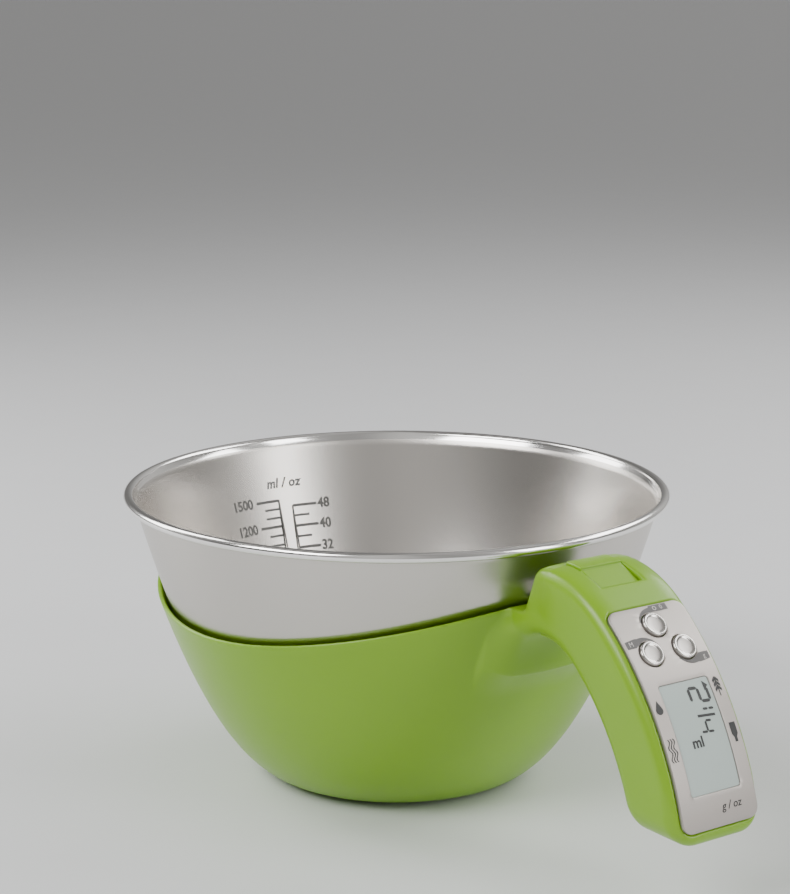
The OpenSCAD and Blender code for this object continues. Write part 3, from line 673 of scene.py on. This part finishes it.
def bowl_profile():
    """Up the outside, over the rolled rim and down the inside; slot 1 is the polished rim, its lighter
    colour a painted highlight.
    """
    knee_r = bowl_out_r(KNEE_TOP_Z)
    flat = (knee_r - KNEE_RUN, BOWL_FLOOR_Z)
    wall = [(bowl_out_r(z), z) for z in np.linspace(KNEE_TOP_Z, TOP_Z - 3.6, WALL_STEPS)]
    outer = [(0.0, BOWL_FLOOR_Z), (FLAT_R, BOWL_FLOOR_Z), flat]
    outer += curve_between(flat, (knee_r - 5, BOWL_FLOOR_Z), wall[0], 8) + wall
    roll = [(RIM_CENTRE[0] + RIM_TUBE * math.cos(a), RIM_CENTRE[1] + RIM_TUBE * math.sin(a))
            for a in np.radians(np.linspace(-152, 178, 28))]
    inner_wall = [(bowl_in_r(z), z) for z in np.linspace(TOP_Z - 3.2, KNEE_TOP_Z + 0.5, WALL_STEPS)]
    floor_z = BOWL_FLOOR_Z + STEEL
    floor_edge = (flat[0] - 0.4, floor_z)
    inner = curve_between(inner_wall[-1], (knee_r - 6, floor_z), floor_edge, 8)
    inner += [floor_edge, (FLAT_R, floor_z), (0.0, floor_z)]
    profile = [(r, z, 0) for r, z in outer]
    profile += [(r, z, 1) for r, z in roll]
    profile += [(r, z, 0) for r, z in inner_wall + inner]
    return profile


bowl = lathe("mixing_bowl", bowl_profile(), 288, (steel, rim_steel_painted_highlight))
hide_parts("bowl")
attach(bowl, "bowl_body")


def height_of_volume(millilitres):
    """Height in the bowl up to which it holds this much."""
    heights = np.linspace(BOWL_FLOOR_Z + STEEL, TOP_Z - 4, 1500)
    left = np.clip((KNEE_TOP_Z - heights) / (KNEE_TOP_Z - heights[0]), 0, 1)
    radii = np.array([bowl_in_r(max(z, KNEE_TOP_Z)) for z in heights]) - 10 * left ** 2
    filled = np.concatenate([[0], np.cumsum(math.pi * radii[1:] ** 2 * np.diff(heights))]) / 1000
    return float(np.interp(millilitres, filled, heights))


# The printed graduation stands opposite the handle, the bowl being turned a little round its axis.
GRADUATION_TURN = 4.6
GRADUATION_R = 100.0
INK_SUNK = 0.05
OUNCE_ML = 29.574


def on_wall(x, y, z):
    """x runs round the inside of the wall, y is a height, z stands in from the steel."""
    r = bowl_in_r(y) - INK_SUNK - z
    a = math.pi - math.radians(GRADUATION_TURN) - x / GRADUATION_R
    return r * math.cos(a), r * math.sin(a), y


def bar(x0, x1, y, width):
    """Outline of a level bar."""
    return [(x0, y - width / 2), (x1, y - width / 2), (x1, y + width / 2), (x0, y + width / 2)]


def graduation():
    """A column of marks on each side of the middle: ml on one, ounces on the other."""
    bars, parts = [], []
    top_z, low_z = height_of_volume(1500), height_of_volume(200)
    columns = ((-1, 1.0, range(200, 1501, 100), 300), (1, OUNCE_ML, range(8, 49, 4), 8))
    for side, unit, steps, major in columns:
        for amount in steps:
            z = height_of_volume(amount * unit)
            big = amount % major == 0
            tick_end = side * (15.2 if big else 11.2)
            bars.append(bar(side * 3.6, tick_end, z, 1.15 if big else 0.95)[::side])
            if big:
                curve = text_curve("figure", str(amount), 5.7, INK_HALF_T, weight=0.2)
                parts.append((curve, side * (22.8 if side < 0 else 18.6), z, 0))
    for side, line_top in ((-1, top_z + 0.4), (1, top_z - 2.6)):
        left, right = side * 3.3 - 0.4, side * 3.3 + 0.4
        bars.append([(left, low_z), (right, low_z), (right, line_top), (left, line_top)])
    for b in bars:
        parts.append((outline_curve("tick", [b], INK_HALF_T), 0, 0, 0))
    heading = text_curve("heading", "ml / oz", 5.6, INK_HALF_T, slant=0.2, weight=0.17, spacing=1.05)
    parts.append((heading, 0, top_z + 7.2, 0))
    return laid("graduation", parts, on_wall, etched, "bowl_body", step=3.0)


graduation()

# ---------------------------------------------------------------- holder with the handle's housing
HOLDER_PITCH = 0.8
HOLDER_KEEP = 0.4
HOLDER_SPAN = ((-103, -103, 0), (194, 103, 117))
points, quads = mesh_of(holder_distance, *HOLDER_SPAN, HOLDER_PITCH)
holder = new_object("holder_and_handle", points * MM, quads, (green,))
thin = holder.modifiers.new("thin", "DECIMATE")
thin.ratio = HOLDER_KEEP
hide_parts("outer_shell", "handle_housing")
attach(holder, "base")


# ---------------------------------------------------------------- panel, display and buttons
def on_face(x, y, z):
    """x runs down the handle from the panel's middle, y across it, z out from the face's centre."""
    a = math.radians(PANEL_A) - x / FACE_R
    return FACE_C[0] + z * math.cos(a), y, FACE_C[1] + z * math.sin(a)


def down_to(angle):
    """How far down the handle from the panel's middle an angle of the face lies."""
    return math.radians(PANEL_A - angle) * FACE_R


def face_sheet(base):
    """A placing function for a flat sheet whose middle lies base mm from the face's centre."""
    return lambda x, y, z: on_face(x, y, base + z)


PANEL_HALF = FACE_R * math.asin(PANEL_L / 2 / FACE_R)
LCD_HALF = FACE_R * math.asin(LCD_L / 2 / FACE_R)
BUTTONS = {"power": (POWER_A, 0.0), "mode": (PAIR_A, -PAIR_Y), "unit": (PAIR_A, PAIR_Y)}
holes = [ring_points(BUTTON_R + 0.3, down_to(a), y) for a, y in BUTTONS.values()]
plate = [rounded_rectangle(2 * PANEL_HALF, PANEL_W, 4.0)]
plate += [rounded_rectangle(2 * LCD_HALF, LCD_W, 1.0, down_to(LCD_A), 0)] + holes
panel_t = PANEL_OUT - PANEL_IN
panel = laid("panel_plate",
             [(outline_curve("plate", plate, panel_t / 2, bevel=0.35, bevel_steps=3), 0, 0, 0)],
             face_sheet((PANEL_IN + PANEL_OUT) / 2), panel_paint, "base", smooth=True)
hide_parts("control_panel")
lens_in, lens_out = PANEL_IN - 0.4, FACE_R + 0.05
lens_outline = rounded_rectangle(2 * LCD_HALF - 0.2, LCD_W - 0.2, 0.9, down_to(LCD_A), 0)
lens = laid("display_window", [(outline_curve("lens", [lens_outline], (lens_out - lens_in) / 2), 0, 0, 0)],
            face_sheet((lens_in + lens_out) / 2), lcd_face, "base", smooth=True)
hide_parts("lcd_window")


def at_arc(obj, angle, y):
    """Turns a piece made about Z so that it stands on the face at this angle."""
    a = math.radians(angle)
    turned = []
    for v in obj.data.vertices:
        x, w, z = v.co
        turned.append((FACE_C[0] * MM + z * math.cos(a) + x * math.sin(a), w + y * MM,
                       FACE_C[1] * MM + z * math.sin(a) - x * math.cos(a)))
    obj.data.vertices.foreach_set("co", np.array(turned).ravel())
    obj.data.update()


def button_profile():
    """A round cap with a polished, rounded edge and a satin dish, on a flange and a stem."""
    top, r = PANEL_OUT + BUTTON_PROUD, BUTTON_EDGE_R
    edge = [(BUTTON_R - r + r * math.cos(a), top - r + r * math.sin(a))
            for a in np.radians(range(0, 91, 15))]
    dish = [(BUTTON_R - 1.05, top - 0.04), (BUTTON_R - 1.3, top - 0.18), (BUTTON_R - 1.6, top - 0.32),
            (BUTTON_R - 2.1, top - 0.40), (1.2, top - 0.46), (0.0, top - 0.47)]
    stem_end, flange_low, flange_high = FACE_R - 4.3, FACE_R - 3.8, FACE_R - 2.9
    low = [(0.0, stem_end), (STEM_R, stem_end), (STEM_R, flange_low), (BUTTON_R + 1, flange_low),
           (BUTTON_R + 1, flange_high), (BUTTON_R, flange_high + 0.05)]
    profile = [(r, z, 0) for r, z in low] + [(r, z, 1) for r, z in edge[:-1]]
    profile += [(r, z, 1) for r, z in [edge[-1]] + dish[:2]] + [(r, z, 0) for r, z in dish[2:]]
    return profile


for label, (angle, y) in BUTTONS.items():
    cap = lathe(label + "_button_cap", button_profile(), 64, (button_metal, button_rim))
    at_arc(cap, angle, y)
    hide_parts("button_" + label)
    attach(cap, label + "_key")


def release_distance(x, y, z):
    """The release button: a raised rear part, a cross ridge and a sloping thumb recess in front of it."""
    along = outside_span(x, RELEASE_X)
    across = np.abs(y) - RELEASE_HW
    cap = round_max(along, across, 0.8)
    cap = round_max(cap, face_distance(x, y, z) - RELEASE_PROUD, 0.7)
    dx, dz = x - RIDGE_X, z - RIDGE_Z
    ahead = dx * math.cos(RECESS_A) - dz * math.sin(RECESS_A)
    above = dx * math.sin(RECESS_A) + dz * math.cos(RECESS_A)
    cap = round_max(cap, np.minimum(ahead, above), 0.5)
    cap = np.maximum(cap, RELEASE_CUT_Z - z)
    flange = np.maximum(np.maximum(along, across) - FLANGE_MARGIN, outside_span(z, FLANGE_Z))
    return np.minimum(cap, flange)


RELEASE_PITCH = 0.4
RELEASE_SPAN = ((115.5, -11, 97), (138.9, 11, 113))
points, quads = mesh_of(release_distance, *RELEASE_SPAN, RELEASE_PITCH)
release = new_object("release_button_cap", points * MM, quads, (green,))
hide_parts("release_button")
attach(release, "release_key")

# ---------------------------------------------------------------- printing on the panel and the display
SEGMENTS = {"1": "bc", "2": "abged", "4": "fgbc"}


def segment_digit(figure, x, y, w, h, t=0.9, lean=0.08, gap=0.12):
    """Seven-segment outlines of one figure, w by h, with its lower left corner at x, y."""
    mid = h / 2
    rows = {"a": h, "g": mid, "d": 0.0}
    columns = {"f": (0.0, mid, h), "b": (w, mid, h), "e": (0.0, 0.0, mid), "c": (w, 0.0, mid)}
    s = t / 2
    outlines = []
    for name in SEGMENTS[figure]:
        if name in rows:
            v = rows[name]
            hexagon = [(gap, v), (gap + s, v + s), (w - gap - s, v + s), (w - gap, v),
                       (w - gap - s, v - s), (gap + s, v - s)]
        else:
            u, low, high = columns[name]
            hexagon = [(u, low + gap), (u + s, low + gap + s), (u + s, high - gap - s), (u, high - gap),
                       (u - s, high - gap - s), (u - s, low + gap + s)]
        outlines.append([(x + u + lean * v, y + v) for u, v in hexagon])
    return outlines


def printed(name, outlines, texts, material, base):
    parts = [(outline_curve("print", [o], INK_HALF_T), 0, 0, 0) for o in outlines]
    parts += [(text_curve("print", words, size, INK_HALF_T, slant, weight), x, y, turn)
              for words, size, x, y, turn, slant, weight in texts]
    return laid(name, parts, face_sheet(base + 0.06), material, "base", step=3.0)


lcd_top_x = down_to(LCD_A) - LCD_HALF
figures = segment_digit("2", lcd_top_x + 3.0, 0.9, 4.8, 8.0, t=1.15)
figures += segment_digit("1", lcd_top_x + 7.6, 4.0, 3.2, 5.0, t=0.85)
figures += segment_digit("4", lcd_top_x + 14.6, 0.6, 3.8, 5.6, t=0.85)
slash_x = lcd_top_x + 12.4
figures.append([(slash_x, 1.0), (slash_x + 0.9, 1.0), (slash_x + 1.5, 8.6), (slash_x + 0.6, 8.6)])
pointer = [(lcd_top_x + 1.3, 8.0), (lcd_top_x + 4.9, 8.0), (lcd_top_x + 3.1, 10.0)]
printed("display_figures", figures + [pointer], [("ml", 5.2, lcd_top_x + 21.5, -2.4, 90, 0.0, 0.14)],
        ink_black, lens_out)


def drop(x, y, size):
    """A drop lying on its side, its tip up the handle."""
    circle = ring_points(size, x, y, 20, -120, 120)
    return [(x - 2.3 * size, y)] + circle


def wave(x, y, length, amplitude, thickness):
    """A wavy line of two periods."""
    upper = [(x + length * i / 16, y + amplitude * math.sin(i / 16 * 4 * math.pi) + thickness / 2)
             for i in range(17)]
    lower = [(u, v - thickness) for u, v in reversed(upper)]
    return lower + upper


def bottle(x, y):
    """A bottle lying on its side, its neck down the handle."""
    half = [(0.0, 1.3), (4.0, 1.3), (5.2, 0.6), (6.8, 0.6)]
    lower = [(x + u, y - v) for u, v in half]
    upper = [(x + u, y + v) for u, v in reversed(half)]
    return (lower + upper)[::-1]


def grain_ear(x, y):
    """A stalk with three pairs of grains."""
    grain = ((0, 0.3), (1.2, 1.4), (2.2, 1.3), (1.3, 0.3))
    outlines = [bar(x, x + 7, y, 0.35)]
    for i in range(3):
        for side in (-1, 1):
            outlines.append([(x + 1.6 * i + u, y + side * v) for u, v in grain][::-side])
    return outlines


SIDE_Y = 13.8
icons = grain_ear(lcd_top_x + 1.0, SIDE_Y) + [bottle(lcd_top_x + 17.5, SIDE_Y + 0.3)]
icons += [drop(lcd_top_x + 8.0, -SIDE_Y - 0.4, 1.5)]
icons += [wave(lcd_top_x + 18.0, -SIDE_Y - 0.3 + d, 8, 0.5, 0.45) for d in (-1.1, 0, 1.1)]
printed("side_icons", icons, [("g / oz", 3.9, PANEL_HALF - 6.4, 5.4, 90, 0.2, 0.03)], ink_black, PANEL_OUT)


def comma(x, y, start, stop, tab):
    """A printed tab that grows out of a tapering arc round a button."""
    n, r = 24, BUTTON_R + 0.5
    outer, inner = [], []
    for i in range(n + 1):
        a = math.radians(start + (stop - start) * i / n)
        swell = 0.5 + 1.5 * (i / n) ** 1.5
        outer.append((x + (r + swell) * math.cos(a), y + (r + swell) * math.sin(a)))
        inner.append((x + r * math.cos(a), y + r * math.sin(a)))
    return outer + tab + inner[::-1]


power_x, pair_x = down_to(POWER_A), down_to(PAIR_A)
TAB_END_Y = 16.0
power_tab = [(power_x - 7.6, 2.0), (power_x - 7.6, 9.6), (power_x - 5.0, 9.6), (power_x - 5.0, 2.0)]
mode_tab = [(pair_x - 6.6, -PAIR_Y - 4.0), (pair_x - 6.0, -TAB_END_Y), (pair_x - 3.2, -TAB_END_Y),
            (pair_x - 3.2, -PAIR_Y - 4.6)]
unit_tab = [(pair_x + 6.6, PAIR_Y + 4.0), (pair_x + 6.0, TAB_END_Y), (pair_x + 3.2, TAB_END_Y),
            (pair_x + 3.2, PAIR_Y + 4.6)]
tabs = [comma(power_x, 0.0, 250, 168, power_tab),
        comma(pair_x, -PAIR_Y, 130, 205, mode_tab),
        comma(pair_x, PAIR_Y, -50, 25, unit_tab)]
printed("button_tabs", tabs, [], ink_grey, PANEL_OUT)
icon_x = power_x - 6.3
icon_ring = [ring_points(0.85, icon_x, 4.0, 24), ring_points(0.55, icon_x, 4.0, 24)[::-1]]
tab_marks = [(outline_curve("power_ring", icon_ring, INK_HALF_T), 0, 0, 0)]
tab_signs = (("0", icon_x, 7.0), ("M", pair_x - 4.7, -SIDE_Y), ("g", pair_x + 4.7, SIDE_Y))
tab_marks += [(text_curve("tab", words, 2.5, INK_HALF_T), x, y, 90) for words, x, y in tab_signs]
laid("tab_marks", tab_marks, face_sheet(PANEL_OUT + 0.12), ink_pale, "base")


# ---------------------------------------------------------------- floor, light and camera
def area_light(name, location, target, size, power, colour=(1, 1, 1)):
    data = bpy.data.lights.new(name, "AREA")
    data.shape = "RECTANGLE"
    data.size, data.size_y = size
    data.energy = power
    data.color = colour
    light = bpy.data.objects.new(name, data)
    light.location = location
    light.rotation_euler = (Vector(target) - Vector(location)).to_track_quat("-Z", "Y").to_euler()
    bpy.context.scene.collection.objects.link(light)


floor_material = textured("studio_floor", (0.74, 0.745, 0.755), (0.72, 0.725, 0.735),
                          roughness=(0.5, 0.6), scale=80, bump=0.0)
FLOOR_HALF = 60.0
floor_corners = [(-FLOOR_HALF, -FLOOR_HALF, 0), (FLOOR_HALF, -FLOOR_HALF, 0),
                 (FLOOR_HALF, FLOOR_HALF, 0), (-FLOOR_HALF, FLOOR_HALF, 0)]
floor = new_object("studio_floor", floor_corners, [(0, 1, 2, 3)], (floor_material,))


def studio_world():
    """A dim room with a few soft, tall pale walls round it, so that steel has something to mirror."""
    world = bpy.data.worlds.new("studio")
    bpy.context.scene.world = world
    world.use_nodes = True
    nodes, links = world.node_tree.nodes, world.node_tree.links
    coords = nodes.new("ShaderNodeTexCoord")
    turn = nodes.new("ShaderNodeTexGradient")
    turn.gradient_type = "RADIAL"
    links.new(coords.outputs["Generated"], turn.inputs["Vector"])
    walls = nodes.new("ShaderNodeValToRGB")
    walls.color_ramp.interpolation = "B_SPLINE"
    stops = ((0.0, 0.22), (0.09, 1.0), (0.17, 0.10), (0.30, 0.14), (0.38, 1.15), (0.46, 0.16), (0.58, 0.90),
             (0.68, 0.08), (0.80, 1.05), (0.90, 0.20), (1.0, 0.22))
    ramp = walls.color_ramp.elements
    while len(ramp) < len(stops):
        ramp.new(0.5)
    for element, (place, value) in zip(ramp, stops):
        element.position = place
        element.color = (value, value * 0.99, value * 0.97, 1)
    links.new(turn.outputs["Fac"], walls.inputs["Fac"])
    links.new(walls.outputs["Color"], nodes["Background"].inputs["Color"])
    nodes["Background"].inputs["Strength"].default_value = 0.75


studio_world()

TARGET = (0.03, 0, 0.06)
area_light("key_soft", (0.1, -1.1, 1.0), TARGET, (0.9, 0.6), 16)
area_light("side_soft", (-0.9, -0.5, 0.7), TARGET, (0.5, 0.9), 9)
area_light("back_soft", (0.2, 1.1, 0.9), TARGET, (1.2, 0.5), 12)
area_light("right_soft", (1.2, 0.5, 0.6), TARGET, (0.4, 0.8), 7)

camera_data = bpy.data.cameras.new("camera")
camera = bpy.data.objects.new("camera", camera_data)
bpy.context.scene.collection.objects.link(camera)
camera.location = (0.6979, -0.4895, 0.3141)
camera.rotation_euler = (math.radians(77.894), 0, math.radians(55))
camera_data.lens = 88.59
camera_data.sensor_width = 36
bpy.context.scene.camera = camera
